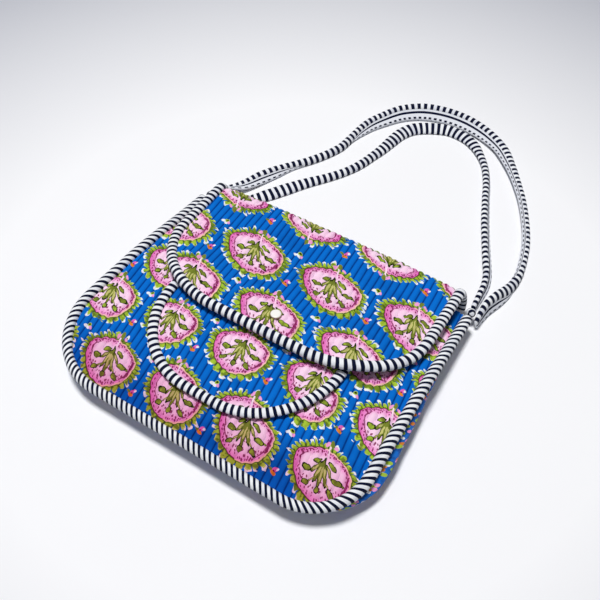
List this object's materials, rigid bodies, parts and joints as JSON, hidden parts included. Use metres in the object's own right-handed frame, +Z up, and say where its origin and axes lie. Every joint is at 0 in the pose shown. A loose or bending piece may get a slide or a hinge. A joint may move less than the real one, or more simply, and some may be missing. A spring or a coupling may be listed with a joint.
{
  "type": "quilted shoulder bag",
  "caption": "Quilted cotton shoulder bag with a fold-over flap, a patch pocket, rolled striped bindings and cloth straps, lying on its back.",
  "frame": {"origin": "the middle of the back panel's flat resting face", "axes": "+X to the right seen from the front, +Y from the bag's bottom to its top, +Z up from the surface it lies on"},
  "size_m": [0.2608, 0.4162, 0.0349],
  "materials": {
    "quilted_cloth": "printed cotton, matt",
    "striped_cotton": "white and navy striped cotton, matt",
    "press_stud": "white, smooth"
  },
  "bodies": {
    "root": {"back_and_flap": "quilted_cloth", "front_panel": "quilted_cloth", "front_pocket": "quilted_cloth", "gusset": "quilted_cloth", "front_binding": "striped_cotton", "back_binding": "striped_cotton", "flap_binding": "striped_cotton", "pocket_binding": "striped_cotton", "gusset_end_left": "striped_cotton", "gusset_end_right": "striped_cotton", "strap_outer": "striped_cotton", "strap_inner": "striped_cotton", "press_stud_cap": "press_stud", "press_stud_socket": "press_stud"}
  },
  "joints": []
}
